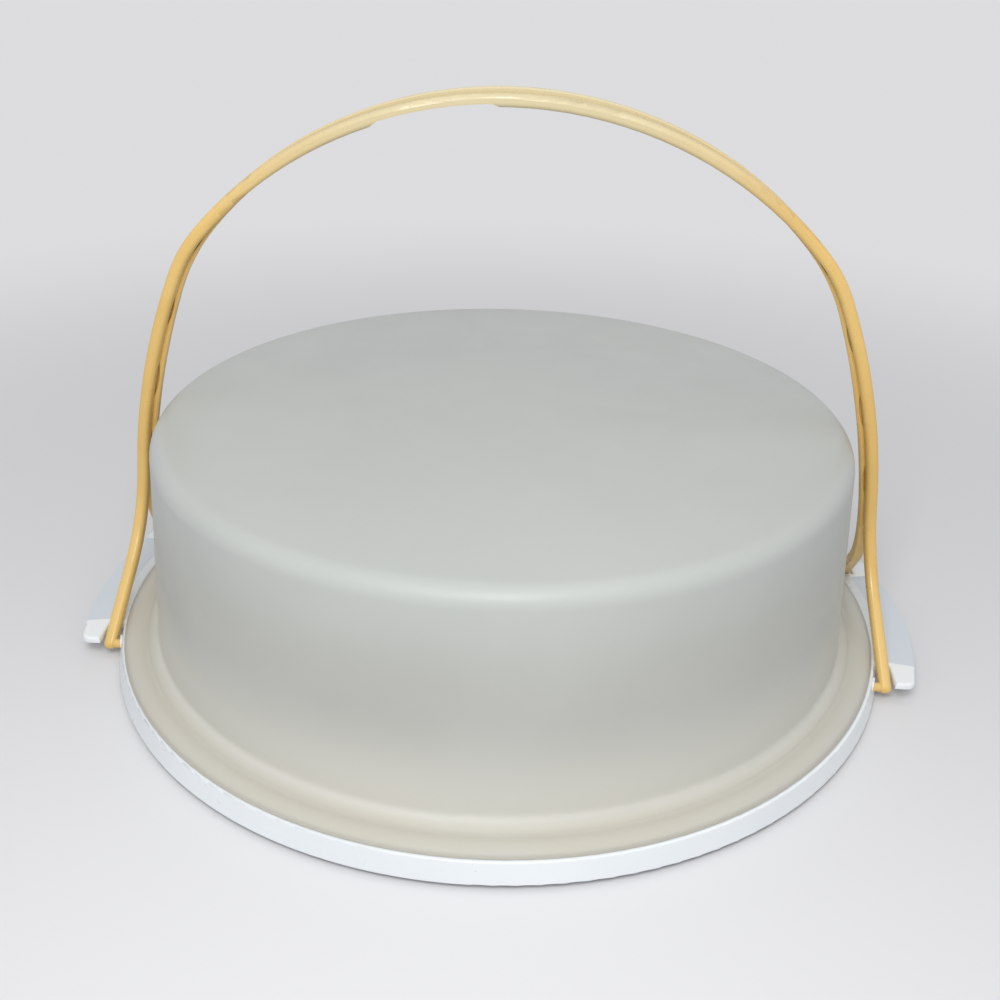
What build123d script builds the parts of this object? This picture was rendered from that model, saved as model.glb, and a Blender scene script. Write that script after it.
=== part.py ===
"""Round cake carrier: a footed tray, a sheer press-on dome and a carrying handle of two hinged bails.

Millimetres. X runs from ear to ear, Y from back to front (front is -Y), Z is up.
The origin is the middle of the footprint, on the surface that the carrier stands on.
"""

from build123d import *
from math import asin, cos, degrees, radians, sin, sqrt, tan
import os

os.makedirs("parts", exist_ok=True)

# ---- clearances shared by the pieces
GAP = 0.3  # between pieces that only meet
PIVOT_CLEARANCE = 0.08  # radial, pin in its bore

# ---- tray
FOOT_H = 2.0  # rim's lower edge above the table
RIM_R = 160.0  # outside radius at the rim's lower edge
RIM_H = 8.3  # height of the white band
RIM_DRAFT = 2.0  # how far the band leans in over its height
RIM_TOP_W = 6.6  # width of the land that the dome's flange sits on
TRAY_WALL = 2.0
CHANNEL_W = 8.0  # groove between the cake plate and the rim
PLATE_STEP = 2.2  # cake plate above the groove's floor
STEP_RUN = 2.0  # how far the step slopes
FOOT_W = 2.4  # wall of a foot ring
INNER_FOOT_R = 72.0
RIB_COUNT = 12
RIB_W = 1.6
RIB_H = 1.6

# ---- ears, one at each end of the X axis
EAR_REACH = 14.0  # out from the rim
EAR_HALF_LEN = 48.2  # middle to end, along the Y axis
EAR_T = 2.4
EAR_CORNER_R = 4.0
EAR_EDGE_R = 1.1  # rounding of its upper edges
GRIP_HALF_ANGLE = 11.85  # the thinner middle, between the two thick ends
GRIP_DEPTH = 0.9

# ---- dome
DOME_H = 98.7  # top face above the table
WALL_DRAFT = 3.7  # degrees that the wall leans in
WALL_INSET = 8.3  # foot of the wall, in from the rim's inner edge
DOME_CROWN = 0.8  # rise of the top from its edge to its flat middle
CROWN_FLAT_R = 40.0
DOME_WALL = 1.7
SHOULDER_R = 6.6
FLANGE_INSET = 1.0  # flange's edge, in from the rim's outer edge
FLANGE_T = 1.6
FLANGE_STEP = 4.2  # from the foot of the wall out to the step line around it
FLANGE_STEP_H = 2.2  # step line above the rim's land
WALL_FOOT_H = 3.9  # foot of the wall above the rim's land
PLUG_W = 1.5  # rib that locates the dome inside the rim
PLUG_H = 3.2

# ---- bails
BAND_T = 4.7  # across the arch
BAND_D = 4.8  # front to back
BAND_ROUND = 1.8
BAND_EDGE = 0.5
PIVOT_Y = 45.0
PIVOT_Z = 6.0
LEG_ROOM = 0.95  # between a leg and the rim where they pass
FLARE_ANGLE = 48.0  # how far the leg turns out to its pivot
FLARE_R = 50.0
PIN_R = 1.8
PIN_LEN = 9.2  # from the middle of the leg
BORE_END_GAP = 0.5
BOSS_R = 3.6
SLOT_ROOM = 0.6  # room around the leg where it passes the ear
HAND_ROOM = 119.4  # from the dome's top to the middle of the front band at its crown
TOP_ARC_ANGLE = 48.0  # half angle of the top arc
FRONT_SPRING_INSET = 6.4  # spring line in from the pivot
FRONT_SHOULDER_R = 60.0
FRONT_SIDE_ANGLE = 66.0  # slope where the shoulder meets the long side
REAR_SPRING_INSET = 7.8
REAR_SHOULDER_R = 85.0
REAR_SIDE_ANGLE = 69.0
REAR_CROWN_RISE = 1.7  # rear crown above the front one

# ---- studs that hold the two bails together
LUG_PITCH = 31.0
LUG_FIRST = 9.0  # above the spring line, along the arch
LUGS_PER_SIDE = 4
SOCKET_L = 17.6
SOCKET_LAND = 0.3  # left of the flat mating face at each side of a socket
SOCKET_DEPTH = 1.6
SOCKET_DRAFT = 0.25  # how far the walls lean in over the depth
LUG_H = 1.1  # how deep a stud reaches into its socket
LUG_PLAY_L = 2.3  # at each tip
LUG_PLAY_W = 0.5  # at each side
GRIP_RELIEF_X = (-50.5, -3.3)  # thumb relief under the front band
GRIP_RELIEF = 1.3
GRIP_RELIEF_RAMP = 3.0

# ---- sizes and levels that follow from those above
SOCKET_HALF_W = BAND_T / 2 - BAND_EDGE - SOCKET_LAND
RIM_TOP_Z = FOOT_H + RIM_H
RIM_TOP_R = RIM_R - RIM_DRAFT
RIM_IN_R = RIM_TOP_R - RIM_TOP_W
CHANNEL_Z = FOOT_H + TRAY_WALL
PLATE_R = RIM_IN_R - CHANNEL_W
PLATE_Z = CHANNEL_Z + PLATE_STEP
EAR_R = RIM_R + EAR_REACH
DOME_FOOT_R = RIM_IN_R - WALL_INSET
DOME_FOOT_Z = RIM_TOP_Z + WALL_FOOT_H
DOME_R = DOME_FOOT_R - (DOME_H - DOME_FOOT_Z) * tan(radians(WALL_DRAFT))
FLANGE_STEP_R = DOME_FOOT_R + FLANGE_STEP
FLANGE_R = RIM_TOP_R - FLANGE_INSET
BAND_Y = (BAND_D + GAP) / 2  # middle of a band, from the plane where the bails meet
CROWN_Z = DOME_H + HAND_ROOM
# a leg passes the rim's top edge this far from the X axis, just outside the rim
PASS_Y = PIVOT_Y - (RIM_TOP_Z - PIVOT_Z) * tan(radians(FLARE_ANGLE))
PASS_Y -= BAND_D / 2 / cos(radians(FLARE_ANGLE))
PIVOT_X = sqrt(RIM_TOP_R**2 - PASS_Y**2) + BAND_T / 2 + LEG_ROOM
PIN_END_X = PIVOT_X - PIN_LEN


def ring_of(points, rounds=()):
    """Revolves the closed (radius, height) outline; rounds lists (corner number, radius)."""
    face = make_face(Plane.XZ * Polyline(*points, close=True))
    for number, radius in rounds:
        radius_at, height_at = points[number]
        corner = face.vertices().sort_by_distance((radius_at, 0, height_at))[0]
        face = fillet(corner, radius)
    return revolve(face, Axis.Z)


def tray_shell():
    """The cake plate, its groove and the rim, moulded as one wall of even thickness."""
    skirt_low = RIM_R - TRAY_WALL * 0.8
    skirt_high = RIM_TOP_R - TRAY_WALL * 0.8
    inner_wall = RIM_IN_R + TRAY_WALL * 0.9
    roof_z = RIM_TOP_Z - TRAY_WALL
    outline = [
        (0, PLATE_Z - TRAY_WALL),
        (0, PLATE_Z),
        (PLATE_R - STEP_RUN, PLATE_Z),
        (PLATE_R, CHANNEL_Z),
        (RIM_IN_R, CHANNEL_Z),
        (RIM_IN_R, RIM_TOP_Z),
        (RIM_TOP_R, RIM_TOP_Z),
        (RIM_R, FOOT_H),
        (skirt_low, FOOT_H),
        (skirt_high, roof_z),
        (inner_wall, roof_z),
        (inner_wall, CHANNEL_Z - TRAY_WALL),
        (PLATE_R - STEP_RUN, CHANNEL_Z - TRAY_WALL),
        (PLATE_R - 2 * STEP_RUN, PLATE_Z - TRAY_WALL),
    ]
    rounds = ((2, 1.2), (3, 1.0), (5, 0.5), (6, 0.7), (7, 0.5))
    return ring_of(outline, rounds)


def foot_ring(radius, roof_z):
    ring = Circle(radius + FOOT_W) - Circle(radius)
    return extrude(ring, roof_z)


def plate_rib(angle):
    """A radial stiffener under the plate, between the two foot rings."""
    start = INNER_FOOT_R + FOOT_W / 2
    end = PLATE_R - STEP_RUN
    top_z = PLATE_Z - TRAY_WALL / 2
    height = RIB_H + TRAY_WALL / 2
    rib = Pos((start + end) / 2, 0, top_z - height / 2) * Box(end - start, RIB_W, height)
    return Rot(0, 0, angle) * rib


def ear():
    """The grip at +X: a flat tab, thinner in the middle, slotted at both ends for the bails' legs."""
    reach = 2 * EAR_R
    strip = Pos(reach / 2, 0) * Rectangle(reach, 2 * EAR_HALF_LEN)
    plan = (Circle(EAR_R) - Circle(RIM_TOP_R - TRAY_WALL / 2)) & strip
    corners = plan.vertices().filter_by(lambda v: v.X**2 + v.Y**2 > (EAR_R - 1) ** 2)
    plan = fillet(corners, EAR_CORNER_R)
    tab = extrude(plan, -EAR_T)

    # the leg leaves its pivot at FLARE_ANGLE, so its underside clears the tab this far in
    clear_height = RIM_TOP_Z - PIVOT_Z + 1.5 * SLOT_ROOM + BAND_D / 2 / sin(radians(FLARE_ANGLE))
    slot_start = PIVOT_Y - clear_height * tan(radians(FLARE_ANGLE))
    slot_outer = PIVOT_X + BAND_T / 2 + SLOT_ROOM
    slot_len = EAR_HALF_LEN + EAR_T - slot_start
    slot_w = slot_outer - RIM_TOP_R + EAR_REACH
    for side in (-1, 1):
        slot = Pos(slot_outer - slot_w / 2, side * (slot_start + slot_len / 2), 0)
        tab -= slot * Box(slot_w, slot_len, 4 * EAR_T)
    rounded = tab.edges().group_by(Axis.Z)[-1].filter_by(lambda e: (e @ 0.5).X > slot_outer - 0.1)
    tab = fillet(rounded, EAR_EDGE_R)

    grip_wedge = Polygon(
        (0, 0),
        (reach, -reach * tan(radians(GRIP_HALF_ANGLE))),
        (reach, reach * tan(radians(GRIP_HALF_ANGLE))),
        align=None,
    )
    grip = (Circle(reach) - Circle(RIM_R + EAR_T)) & grip_wedge
    tab -= extrude(grip, -GRIP_DEPTH)
    return Pos(0, 0, RIM_TOP_Z) * tab


def pivot_boss(x_side, y_side):
    """Thickened spot inside the rim that the pin's bore runs into."""
    bar = Pos(PIN_END_X, PIVOT_Y, PIVOT_Z) * Rot(0, 90, 0) * Cylinder(BOSS_R, 4 * BOSS_R)
    rim_hollow = Circle(RIM_R - TRAY_WALL / 2) - Circle(RIM_IN_R + TRAY_WALL / 2)
    boss = bar & extrude(rim_hollow, RIM_TOP_Z - TRAY_WALL / 2)
    if x_side < 0:
        boss = mirror(boss, Plane.YZ)
    if y_side < 0:
        boss = mirror(boss, Plane.XZ)
    return boss


def pivot_bore(x_side, y_side):
    start = PIN_END_X - BORE_END_GAP
    length = RIM_R - start
    centre = Pos(x_side * (start + length / 2), y_side * PIVOT_Y, PIVOT_Z)
    return centre * Rot(0, 90, 0) * Cylinder(PIN_R + PIVOT_CLEARANCE, length)


def base_tray():
    tray = tray_shell()
    tray += foot_ring(PLATE_R + STEP_RUN / 2, CHANNEL_Z - TRAY_WALL / 2)
    tray += foot_ring(INNER_FOOT_R, PLATE_Z - TRAY_WALL / 2)
    for n in range(RIB_COUNT):
        tray += plate_rib(n * 360 / RIB_COUNT)
    right_ear = ear()
    tray += right_ear
    tray += mirror(right_ear, Plane.YZ)
    for x_side in (-1, 1):
        for y_side in (-1, 1):
            tray += pivot_boss(x_side, y_side)
            tray -= pivot_bore(x_side, y_side)
    return tray


def dome_lid():
    """The dome: one wall from the crown, over the shoulder and down to the flange."""
    seat_z = RIM_TOP_Z
    edge_z = DOME_H - DOME_CROWN
    flange_top = seat_z + FLANGE_T
    step_z = seat_z + FLANGE_STEP_H
    plug_r = RIM_IN_R - GAP
    outline = [
        (0, DOME_H),
        (CROWN_FLAT_R, DOME_H),
        (DOME_R, edge_z),
        (DOME_FOOT_R, DOME_FOOT_Z),
        (FLANGE_STEP_R - 0.6, step_z + 0.5),
        (FLANGE_STEP_R, step_z - 0.2),
        (FLANGE_R - 5.0, flange_top + 0.4),
        (FLANGE_R, flange_top - 0.5),
        (FLANGE_R, seat_z),
        (plug_r, seat_z),
        (plug_r, seat_z - PLUG_H),
        (plug_r - PLUG_W, seat_z - PLUG_H),
        (plug_r - PLUG_W, step_z - FLANGE_T),
        (DOME_FOOT_R - DOME_WALL, step_z - FLANGE_T + 0.4),
        (DOME_R - DOME_WALL, edge_z - DOME_WALL),
        (CROWN_FLAT_R, DOME_H - DOME_WALL),
        (0, DOME_H - DOME_WALL),
    ]
    inner_r = SHOULDER_R - DOME_WALL
    rounds = ((2, SHOULDER_R), (3, 2.5), (7, 0.6), (8, 0.3), (10, 0.5), (13, 1.2), (14, inner_r))
    return ring_of(outline, rounds)


def band_profile():
    """Section of a bail: its edges just broken where it meets the other bail, rounded on the free side."""
    profile = Rectangle(BAND_T, BAND_D)
    mating = profile.vertices().group_by(Axis.Y)[-1]
    profile = chamfer(mating, BAND_EDGE)
    free = profile.vertices().group_by(Axis.Y)[0]
    return fillet(free, BAND_ROUND)


class Arch:
    """Centre line of a bail in its own plane: a top arc, two shoulders, two long sides."""

    def __init__(self, spring_inset, crown_z, shoulder_r, side_angle):
        flare = radians(FLARE_ANGLE)
        straight_out = PIVOT_Y - BAND_Y - FLARE_R * (1 - cos(flare))
        leg_len = FLARE_R * sin(flare) + straight_out / tan(flare)
        self.lean = asin(spring_inset / leg_len)
        self.spring = (PIVOT_X - spring_inset, PIVOT_Z + leg_len * cos(self.lean))
        self.crown_z = crown_z

        # slope angles: a1 at the end of the top arc, a2 under the shoulder, a3 at the spring line
        a1 = radians(TOP_ARC_ANGLE)
        a2 = radians(side_angle)
        a3 = radians(90) - self.lean
        # what the shoulder leaves of the run and the rise, the top arc and the side arc span
        run = self.spring[0] - shoulder_r * (sin(a2) - sin(a1))
        rise = crown_z - self.spring[1] - shoulder_r * (cos(a1) - cos(a2))
        top_run, top_rise = sin(a1), 1 - cos(a1)
        side_run, side_rise = sin(a3) - sin(a2), cos(a2) - cos(a3)
        spread = top_run * side_rise - side_run * top_rise
        self.top_r = (run * side_rise - side_run * rise) / spread
        side_r = (top_run * rise - run * top_rise) / spread
        # arcs from the spring line up: (radius, angle at its foot, angle at its head)
        self.arcs = ((side_r, a3, a2), (shoulder_r, a2, a1), (self.top_r, a1, 0.0))

    def point(self, distance):
        """Point and slope angle on the right side, this far along the line from the spring line."""
        x, z = self.spring
        for radius, foot, head in self.arcs:
            length = radius * (foot - head)
            angle = foot - min(distance, length) / radius
            x_here = x - radius * (sin(foot) - sin(angle))
            z_here = z + radius * (cos(angle) - cos(foot))
            if distance <= length:
                return x_here, z_here, angle
            distance -= length
            x, z = x_here, z_here
        return x, z, 0.0

    def spring_plane(self, y):
        """Plane across the band at the right spring line, facing up along it."""
        across = Vector(cos(self.lean), 0, sin(self.lean))
        along = Vector(-sin(self.lean), 0, cos(self.lean))
        return Plane(origin=(self.spring[0], y, self.spring[1]), x_dir=across, z_dir=along)

    def wire(self, y):
        """The whole centre line, from the left spring line over the top to the right one."""
        marks = [0.0]
        for radius, foot, head in self.arcs:
            marks.append(marks[-1] + radius * (foot - head))
        edges = []
        for side in (-1, 1):
            for low, high in zip(marks, marks[1:]):
                pts = [self.point(distance) for distance in (low, (low + high) / 2, high)]
                edges.append(ThreePointArc(*[(side * x, y, z) for x, z, _ in pts]))
        return Wire(edges)


def bail_leg(arch):
    """The right leg: down from the spring line, turning out to its rounded end at the pivot."""
    flare = radians(FLARE_ANGLE)
    x_top, z_top = arch.spring

    def place(turned, out_more=0.0):
        """Point of the leg once it has turned this far, or this far out along its straight end."""
        down = FLARE_R * sin(turned) + out_more / tan(flare)
        out = FLARE_R * (1 - cos(turned)) + out_more
        return (x_top + down * sin(arch.lean), -BAND_Y - out, z_top - down * cos(arch.lean))

    bend = ThreePointArc(place(0), place(flare / 2), place(flare))
    straight_out = PIVOT_Y - BAND_Y - FLARE_R * (1 - cos(flare))
    run = Line(place(flare), place(flare, straight_out))
    top = arch.spring_plane(-BAND_Y)
    leg = sweep(top * band_profile(), Wire([bend, run]))

    end = Plane(origin=run @ 1, x_dir=top.x_dir, z_dir=-(run % 1))
    free_half = band_profile() & Pos(0, -BAND_D / 2) * Rectangle(BAND_T, BAND_D)
    leg += revolve(end * free_half, Axis(end.origin, end.x_dir), 180)
    return leg


def bail(arch):
    """A complete bail in the front position, its mating face towards +Y."""
    body = sweep(arch.spring_plane(-BAND_Y) * band_profile(), arch.wire(-BAND_Y))
    pin = Pos(0, 0, -PIN_LEN / 2) * Cylinder(PIN_R, PIN_LEN)
    pin = chamfer(pin.faces().sort_by(Axis.Z)[0].edges(), 0.5)
    side = bail_leg(arch) + Pos(PIVOT_X, -PIVOT_Y, PIVOT_Z) * Rot(0, 90, 0) * pin
    body += side
    body += mirror(side, Plane.YZ)
    return body


def lens(length, half_width, low_y, high_y):
    """A pointed block whose outline, drawn in towards +Y, lies in the plane of the bails."""

    def outline(y, drawn_in):
        tip = length / 2 - 2 * drawn_in
        sides = [ThreePointArc((0, -tip), (side * (half_width - drawn_in), 0), (0, tip)) for side in (-1, 1)]
        return Plane.XZ.offset(-y) * make_face(sides)

    return loft([outline(low_y, 0), outline(high_y, SOCKET_DRAFT)])


def lens_places(arch):
    """Where the lenses sit along an arch, on both sides."""
    places = []
    for n in range(LUGS_PER_SIDE):
        x, z, angle = arch.point(LUG_FIRST + n * LUG_PITCH)
        tilt = 90 - degrees(angle)
        for side in (-1, 1):
            places.append(Pos(side * x, 0, z) * Rot(0, -side * tilt, 0))
    return places


front_arch = Arch(FRONT_SPRING_INSET, CROWN_Z, FRONT_SHOULDER_R, FRONT_SIDE_ANGLE)
rear_arch = Arch(REAR_SPRING_INSET, CROWN_Z + REAR_CROWN_RISE, REAR_SHOULDER_R, REAR_SIDE_ANGLE)


def rear_bail():
    """The bail with the sockets, turned round to the back."""
    body = Rot(0, 0, 180) * bail(rear_arch)
    socket = lens(SOCKET_L, SOCKET_HALF_W, 0, GAP / 2 + SOCKET_DEPTH)
    for place in lens_places(rear_arch):
        body -= place * socket
    return body


def grip_relief():
    """Cutter for the shallow hollow under the front band, to the left of its crown."""
    low, high = GRIP_RELIEF_X
    inner_r = front_arch.top_r - BAND_T / 2
    centre_z = front_arch.crown_z - front_arch.top_r

    def at(x, cut):
        return (x, centre_z + sqrt((inner_r + cut) ** 2 - x**2))

    roof_low, roof_high = at(low + GRIP_RELIEF_RAMP, GRIP_RELIEF), at(high - GRIP_RELIEF_RAMP, GRIP_RELIEF)
    roof = ThreePointArc(roof_low, at((low + high) / 2, GRIP_RELIEF), roof_high)
    below = Polyline(roof_high, at(high, 0), at(high, -BAND_T), at(low, -BAND_T), at(low, 0), roof_low)
    return extrude(Plane.XZ * make_face([roof, below]), 2 * BAND_D, both=True)


def front_bail():
    """The bail with the studs: each is a lens cut off flush with the band that carries it."""
    body = bail(front_arch) - grip_relief()
    footprint_face = front_arch.spring_plane(0) * Rectangle(BAND_T - GAP, 2 * BAND_D)
    footprint = sweep(footprint_face, front_arch.wire(0))
    lug_l = SOCKET_L - 2 * LUG_PLAY_L
    lug = lens(lug_l, SOCKET_HALF_W - LUG_PLAY_W, -BAND_D / 2, GAP / 2 + LUG_H)
    for place in lens_places(rear_arch):
        body += (place * lug) & footprint
    return body


nodes = {
    "base_tray": base_tray(),
    "dome_lid": dome_lid(),
    "front_bail": front_bail(),
    "rear_bail": rear_bail(),
}
for name, solid in nodes.items():
    export_step(solid, f"parts/{name}.step")
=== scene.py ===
"""Looks of the round cake carrier: a white footed tray, a milky dome and a tan two-part handle."""

from math import radians

import bpy
from mathutils import Matrix, Vector


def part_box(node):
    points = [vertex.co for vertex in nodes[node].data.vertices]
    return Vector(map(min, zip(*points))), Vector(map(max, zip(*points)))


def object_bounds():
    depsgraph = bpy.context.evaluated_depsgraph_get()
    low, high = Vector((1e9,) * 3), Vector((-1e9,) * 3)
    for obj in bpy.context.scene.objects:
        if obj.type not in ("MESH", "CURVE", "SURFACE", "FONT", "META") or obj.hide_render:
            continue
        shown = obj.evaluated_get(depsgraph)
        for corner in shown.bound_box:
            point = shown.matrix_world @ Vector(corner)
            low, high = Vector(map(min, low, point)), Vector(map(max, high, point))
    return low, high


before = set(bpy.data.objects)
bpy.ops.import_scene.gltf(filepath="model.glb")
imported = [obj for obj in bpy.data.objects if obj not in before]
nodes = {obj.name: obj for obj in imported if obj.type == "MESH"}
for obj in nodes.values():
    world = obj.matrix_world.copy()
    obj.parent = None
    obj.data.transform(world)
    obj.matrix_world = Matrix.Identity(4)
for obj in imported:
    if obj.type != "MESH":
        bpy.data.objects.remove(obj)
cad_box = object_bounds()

# places on the carrier, in metres out from its upright axis or up from the table
ear_end, handle_top = cad_box[1].x, cad_box[1].z
flange_edge, dome_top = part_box("dome_lid")[1].x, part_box("dome_lid")[1].z
rim_edge = ear_end - 0.014

# where one tone goes over to the next: the first and the last place of each change
RIM_TO_EAR = rim_edge + 0.0005, rim_edge + 0.002
WALL_TO_FLANGE = flange_edge - 0.014, flange_edge - 0.010
FOOT_TO_WALL = 0.016, 0.054
WALL_TO_TOP = 0.060, dome_top - 0.0027
TAN_TO_CROWN = handle_top - 0.057, handle_top
# the painted shade on the ears' middles reaches out to here
GRIP_TO_EAR = 0.207, 0.213  # y over x, where the thinner middle of an ear ends
FOLD_EASE = 0.004  # radius over which the dome's bends look softened

# the tones of the plastics
TRAY_WHITE = 0.77, 0.805, 0.83
TRAY_CLOUD = 0.82, 0.855, 0.875
EAR_WHITE = 0.87, 0.90, 0.92
# painted shade for the ears' thinner middles
GRIP_SHADE_GREY = 0.65, 0.71, 0.77
SPECK_GREY = 0.30, 0.30, 0.33
FOOT_CREAM = 0.63, 0.62, 0.56
# painted shade on the dome's walls and painted light on its shoulder and top
WALL_SHADE_GREY = 0.445, 0.45, 0.415
TOP_LIT_GREY = 0.49, 0.51, 0.49
FLANGE_CREAM = 0.57, 0.545, 0.475
DOME_MIST = 0.56, 0.575, 0.54
TAN_DEEP = 0.74, 0.475, 0.14
TAN_LIGHT = 0.80, 0.54, 0.18
# painted light on the handle's crown
CROWN_LIT_CREAM = 0.645, 0.605, 0.42

# the studio: its tones, and lengths in metres
FLOOR_PALE = 0.76, 0.76, 0.77
PAPER_GREY = 0.72, 0.72, 0.735
SKY_COOL = 0.97, 0.98, 1.0
BACKDROP_PALE = 0.9, 0.9, 0.91
FLOOR_SIDE = 12
FLOOR_TO_PAPER = 0.20, 0.75  # out from the upright axis

# the camera: place in metres, lens in millimetres, angles in degrees
CAMERA_PLACE = 0.02518, -0.43024, 0.28023
LENS, SENSOR = 41.73, 36.0
HEADING, TILT, ROLL = 3.417, 62.710, 1.289  # to the left, up from straight down, about the view


def new_node(tree, kind, **settings):
    node = tree.nodes.new(kind)
    for key, value in settings.items():
        setattr(node, key, value)
    return node


# ---------------------------------------------------------------- finishes
class Finish:
    """A moulded plastic: a Principled shader whose colour, gloss and grain lie in object space."""

    MIX_SHARE, MIX_FIRST, MIX_SECOND, MIX_OUT = 0, 6, 7, 2  # a Mix node's sockets for colours

    def __init__(self, name):
        self.material = bpy.data.materials.new(name)
        self.material.use_nodes = True
        self.tree = self.material.node_tree
        self.tree.nodes.clear()
        output = self.add("ShaderNodeOutputMaterial")
        self.shader = self.add("ShaderNodeBsdfPrincipled")
        self.wire(self.shader.outputs["BSDF"], output.inputs["Surface"])
        self.where = self.add("ShaderNodeTexCoord").outputs["Object"]

    def add(self, kind, **settings):
        return new_node(self.tree, kind, **settings)

    def wire(self, source, target):
        self.tree.links.new(source, target)

    def set(self, **values):
        for key, value in values.items():
            self.shader.inputs[key.replace("_", " ")].default_value = value

    def stretched(self, scale, turn=(0, 0, 0)):
        node = self.add("ShaderNodeMapping")
        node.inputs["Scale"].default_value = scale
        node.inputs["Rotation"].default_value = turn
        self.wire(self.where, node.inputs["Vector"])
        return node.outputs["Vector"]

    def noise(self, scale, detail=3.0, rough=0.5, distort=0.0, where=None):
        node = self.add("ShaderNodeTexNoise")
        node.inputs["Scale"].default_value = scale
        node.inputs["Detail"].default_value = detail
        node.inputs["Roughness"].default_value = rough
        node.inputs["Distortion"].default_value = distort
        self.wire(where or self.where, node.inputs["Vector"])
        return node.outputs["Fac"]

    def span(self, value, low, high, to_low=0.0, to_high=1.0):
        """Carries value from low..high to to_low..to_high, held at both ends."""
        node = self.add("ShaderNodeMapRange", interpolation_type="SMOOTHSTEP")
        sockets = ("From Min", "From Max", "To Min", "To Max")
        for key, number in zip(sockets, (low, high, to_low, to_high)):
            node.inputs[key].default_value = number
        self.wire(value, node.inputs["Value"])
        return node.outputs["Result"]

    def mixed(self, share, first, second):
        """Colour that goes from first to second as share goes from 0 to 1."""
        node = self.add("ShaderNodeMix", data_type="RGBA", clamp_factor=True)
        self.wire(share, node.inputs[self.MIX_SHARE])
        for key, value in ((self.MIX_FIRST, first), (self.MIX_SECOND, second)):
            if isinstance(value, tuple):
                node.inputs[key].default_value = (*value, 1)
            else:
                self.wire(value, node.inputs[key])
        return node.outputs[self.MIX_OUT]

    def math(self, operation, *values):
        node = self.add("ShaderNodeMath", operation=operation)
        for socket, value in zip(node.inputs, values):
            if isinstance(value, (int, float)):
                socket.default_value = value
            else:
                self.wire(value, socket)
        return node.outputs[0]

    def axis(self, name):
        node = self.add("ShaderNodeSeparateXYZ")
        self.wire(self.where, node.inputs[0])
        return node.outputs[name]

    def from_middle(self):
        """Distance from the upright axis of the carrier."""
        flat = self.stretched((1, 1, 0))
        node = self.add("ShaderNodeVectorMath", operation="LENGTH")
        self.wire(flat, node.inputs[0])
        return node.outputs["Value"]

    def eased(self, radius):
        """Normals eased over this radius in metres, as the soft corners of a moulding."""
        node = self.add("ShaderNodeBevel", samples=8)
        node.inputs["Radius"].default_value = radius
        return node.outputs["Normal"]

    def colour(self, value):
        self.wire(value, self.shader.inputs["Base Color"])

    def rubbed(self, texture, glossy, dull):
        """Roughness that wanders between glossy and dull with this texture."""
        self.wire(self.span(texture, 0.3, 0.7, glossy, dull), self.shader.inputs["Roughness"])

    def grain(self, *layers, normal=None):
        """Bump from (height, distance in metres, strength) layers, one on top of the other."""
        for height, distance, strength in layers:
            bump = self.add("ShaderNodeBump")
            bump.inputs["Strength"].default_value = strength
            bump.inputs["Distance"].default_value = distance
            self.wire(height, bump.inputs["Height"])
            if normal:
                self.wire(normal, bump.inputs["Normal"])
            normal = bump.outputs["Normal"]
        self.wire(normal, self.shader.inputs["Normal"])


def tray_plastic():
    """Cool white, faintly uneven, with pinprick specks and rubbed gloss."""
    f = Finish("tray_white")
    f.set(IOR=1.5)
    cloud = f.span(f.noise(7.0, detail=4.0), 0.35, 0.65)
    tone = f.mixed(cloud, TRAY_WHITE, TRAY_CLOUD)
    on_ear = f.span(f.from_middle(), *RIM_TO_EAR)
    tone = f.mixed(on_ear, tone, EAR_WHITE)
    # painted shade: the ears' thinner, recessed middles are greyed as if in shade
    sideways = f.math("ABSOLUTE", f.math("DIVIDE", f.axis("Y"), f.axis("X")))
    grip_shade = f.math("MULTIPLY", f.span(sideways, *GRIP_TO_EAR, 1.0, 0.0), on_ear)
    tone = f.mixed(grip_shade, tone, GRIP_SHADE_GREY)
    specks = f.span(f.noise(520.0, detail=2.0, rough=0.6), 0.735, 0.78)
    patches = f.span(f.noise(22.0, detail=2.0), 0.50, 0.62)
    speckled = f.math("MULTIPLY", specks, f.math("MULTIPLY", patches, 0.55))
    f.colour(f.mixed(speckled, tone, SPECK_GREY))
    f.rubbed(f.noise(60.0, detail=5.0, rough=0.65, distort=0.6), 0.26, 0.42)
    fine = f.noise(1400.0, detail=2.0)
    ripple = f.noise(45.0, detail=2.0)
    f.grain((fine, 0.00006, 0.35), (ripple, 0.0004, 0.10))
    return f.material


def dome_plastic():
    """Sheer milky shell: creamy at its foot and flange, with painted shade darkening its walls and
    painted light on its shoulder and top, misty in patches, finely scuffed all over.
    """
    f = Finish("dome_sheer")
    f.set(IOR=1.5, Specular_IOR_Level=0.35)
    height = f.axis("Z")
    # painted shade and light: darker grey up the walls, lighter grey at the shoulder and top
    wall = f.mixed(f.span(height, *FOOT_TO_WALL), FOOT_CREAM, WALL_SHADE_GREY)
    tone = f.mixed(f.span(height, *WALL_TO_TOP), wall, TOP_LIT_GREY)
    on_flange = f.span(f.from_middle(), *WALL_TO_FLANGE)
    tone = f.mixed(on_flange, tone, FLANGE_CREAM)
    cloud = f.span(f.noise(11.0, detail=4.0, rough=0.55, distort=0.4), 0.35, 0.68)
    f.colour(f.mixed(f.math("MULTIPLY", cloud, 0.25), tone, DOME_MIST))
    f.rubbed(f.noise(26.0, detail=6.0, rough=0.6, distort=0.8), 0.36, 0.50)
    fine = f.noise(900.0, detail=2.0)
    one_way = f.stretched((1.0, 14.0, 1.0), turn=(0, 0, 0.6))
    scuffs = f.noise(90.0, detail=3.0, rough=0.7, distort=1.2, where=one_way)
    f.grain((fine, 0.00005, 0.4), (scuffs, 0.00008, 0.12), normal=f.eased(FOLD_EASE))
    return f.material


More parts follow.
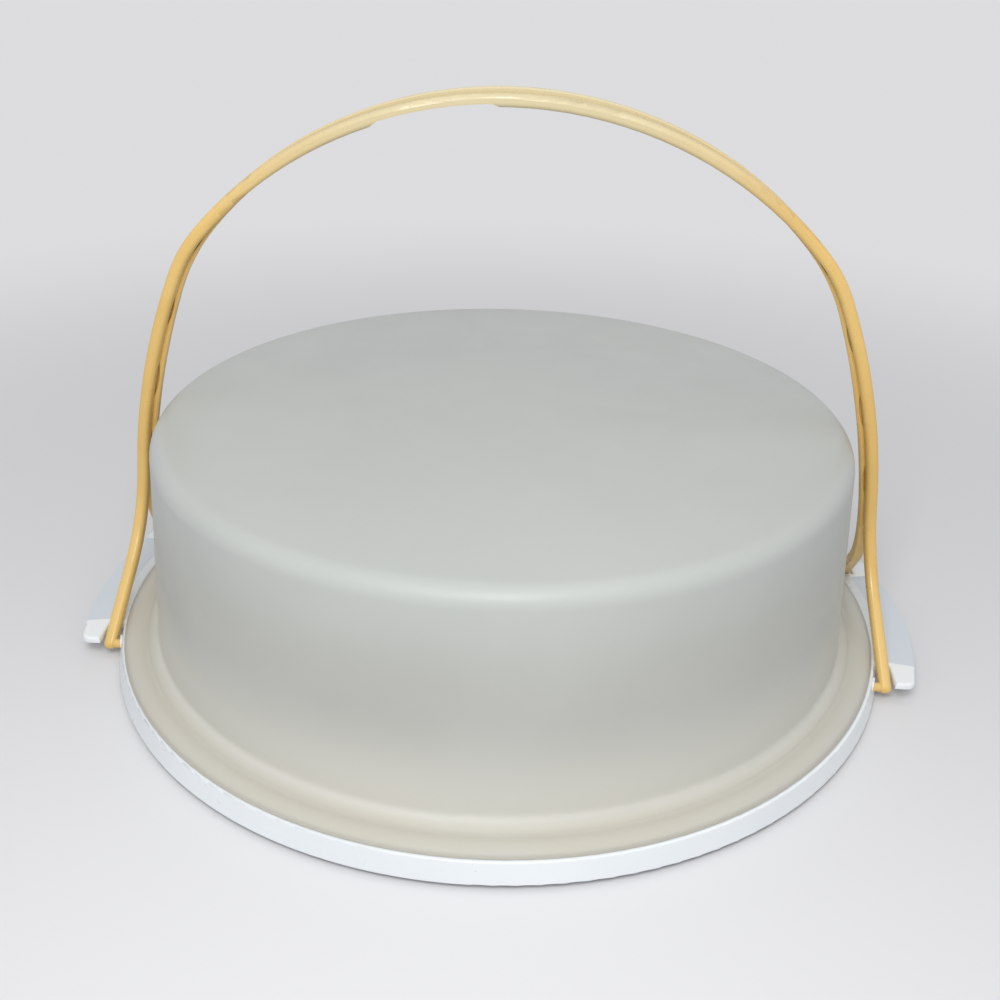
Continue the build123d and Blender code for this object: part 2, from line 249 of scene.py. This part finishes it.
def handle_plastic():
    """Warm tan with painted light that pales it to cream towards the crown."""
    f = Finish("handle_tan")
    f.set(IOR=1.5)
    flow = f.span(f.noise(16.0, detail=4.0, rough=0.6, distort=0.5), 0.35, 0.65)
    tone = f.mixed(flow, TAN_DEEP, TAN_LIGHT)
    # painted light: the tan pales to cream towards the crown, its lit top
    crown_light = f.span(f.axis("Z"), *TAN_TO_CROWN, 0.0, 0.75)
    f.colour(f.mixed(crown_light, tone, CROWN_LIT_CREAM))
    f.rubbed(f.noise(140.0, detail=4.0, rough=0.6), 0.25, 0.40)
    fine = f.noise(1600.0, detail=2.0)
    ripple = f.noise(70.0, detail=2.0)
    f.grain((fine, 0.00005, 0.35), (ripple, 0.0003, 0.12))
    return f.material


def dress(node, material):
    mesh = nodes[node].data
    mesh.materials.clear()
    mesh.materials.append(material)


# ---------------------------------------------------------------- floor, light and camera
def looking_rays(tree):
    """1 for rays that look at the background, straight, mirrored or through a piece, else 0."""
    rays = new_node(tree, "ShaderNodeLightPath")
    share = rays.outputs["Is Camera Ray"]
    for other in ("Is Glossy Ray", "Is Transmission Ray"):
        either = new_node(tree, "ShaderNodeMath", operation="MAXIMUM")
        tree.links.new(share, either.inputs[0])
        tree.links.new(rays.outputs[other], either.inputs[1])
        share = either.outputs[0]
    return share


def plain_floor():
    """Pale floor that takes shadows, and shows an even grey to looking rays further out."""
    bpy.ops.object.select_all(action="DESELECT")
    bpy.ops.mesh.primitive_plane_add(size=FLOOR_SIDE, location=(0, 0, 0))
    floor = bpy.context.object
    floor.name = "floor"
    material = bpy.data.materials.new("pale_floor")
    material.use_nodes = True
    material.cycles.emission_sampling = "NONE"
    tree = material.node_tree
    shader = tree.nodes["Principled BSDF"]
    shader.inputs["Base Color"].default_value = (*FLOOR_PALE, 1)
    shader.inputs["Roughness"].default_value = 0.9
    where = new_node(tree, "ShaderNodeTexCoord")
    apart = new_node(tree, "ShaderNodeVectorMath", operation="LENGTH")
    far = new_node(tree, "ShaderNodeMapRange", interpolation_type="SMOOTHSTEP")
    far.inputs["From Min"].default_value = FLOOR_TO_PAPER[0]
    far.inputs["From Max"].default_value = FLOOR_TO_PAPER[1]
    shown = new_node(tree, "ShaderNodeMath", operation="MULTIPLY")
    paper = new_node(tree, "ShaderNodeEmission")
    paper.inputs["Color"].default_value = (*PAPER_GREY, 1)
    mix = new_node(tree, "ShaderNodeMixShader")
    tree.links.new(where.outputs["Object"], apart.inputs[0])
    tree.links.new(apart.outputs["Value"], far.inputs["Value"])
    tree.links.new(far.outputs["Result"], shown.inputs[0])
    tree.links.new(looking_rays(tree), shown.inputs[1])
    tree.links.new(shown.outputs[0], mix.inputs[0])
    tree.links.new(shader.outputs["BSDF"], mix.inputs[1])
    tree.links.new(paper.outputs[0], mix.inputs[2])
    tree.links.new(mix.outputs[0], tree.nodes["Material Output"].inputs["Surface"])
    floor.data.materials.append(material)


def sky():
    """Even light from all round, and a pale backdrop for the rays that look at it."""
    world = bpy.data.worlds.new("studio")
    bpy.context.scene.world = world
    world.use_nodes = True
    tree = world.node_tree
    tree.nodes.clear()
    output = new_node(tree, "ShaderNodeOutputWorld")
    lit = new_node(tree, "ShaderNodeBackground")
    lit.inputs["Color"].default_value = (*SKY_COOL, 1)
    lit.inputs["Strength"].default_value = 0.50
    seen = new_node(tree, "ShaderNodeBackground")
    seen.inputs["Color"].default_value = (*BACKDROP_PALE, 1)
    seen.inputs["Strength"].default_value = 1.0
    mix = new_node(tree, "ShaderNodeMixShader")
    tree.links.new(looking_rays(tree), mix.inputs[0])
    tree.links.new(lit.outputs[0], mix.inputs[1])
    tree.links.new(seen.outputs[0], mix.inputs[2])
    tree.links.new(mix.outputs[0], output.inputs["Surface"])


def soft_lamp(name, place, aim, size, power):
    lamp = bpy.data.lights.new(name, "AREA")
    lamp.size = size
    lamp.energy = power
    holder = bpy.data.objects.new(name, lamp)
    bpy.context.scene.collection.objects.link(holder)
    holder.location = place
    holder.rotation_euler = (Vector(aim) - Vector(place)).to_track_quat("-Z", "Y").to_euler()


def camera():
    lens = bpy.data.cameras.new("camera")
    lens.sensor_width = SENSOR
    lens.lens = LENS
    lens.clip_start = 0.01
    holder = bpy.data.objects.new("camera", lens)
    bpy.context.scene.collection.objects.link(holder)
    turn = Matrix.Rotation(radians(HEADING), 4, "Z")
    turn = turn @ Matrix.Rotation(radians(TILT), 4, "X")
    turn = turn @ Matrix.Rotation(radians(ROLL), 4, "Z")
    holder.matrix_world = Matrix.Translation(CAMERA_PLACE) @ turn
    bpy.context.scene.camera = holder


handle_finish = handle_plastic()
dress("base_tray", tray_plastic())
dress("dome_lid", dome_plastic())
dress("front_bail", handle_finish)
dress("rear_bail", handle_finish)
plain_floor()
sky()
soft_lamp("key", place=(-0.01, -0.50, 0.52), aim=(0, 0, 0.05), size=0.25, power=2.15)
soft_lamp("overhead", place=(0.1, -0.5, 1.5), aim=(0, 0, 0), size=1.6, power=4.5)
camera()
bpy.context.scene.view_settings.view_transform = "Standard"
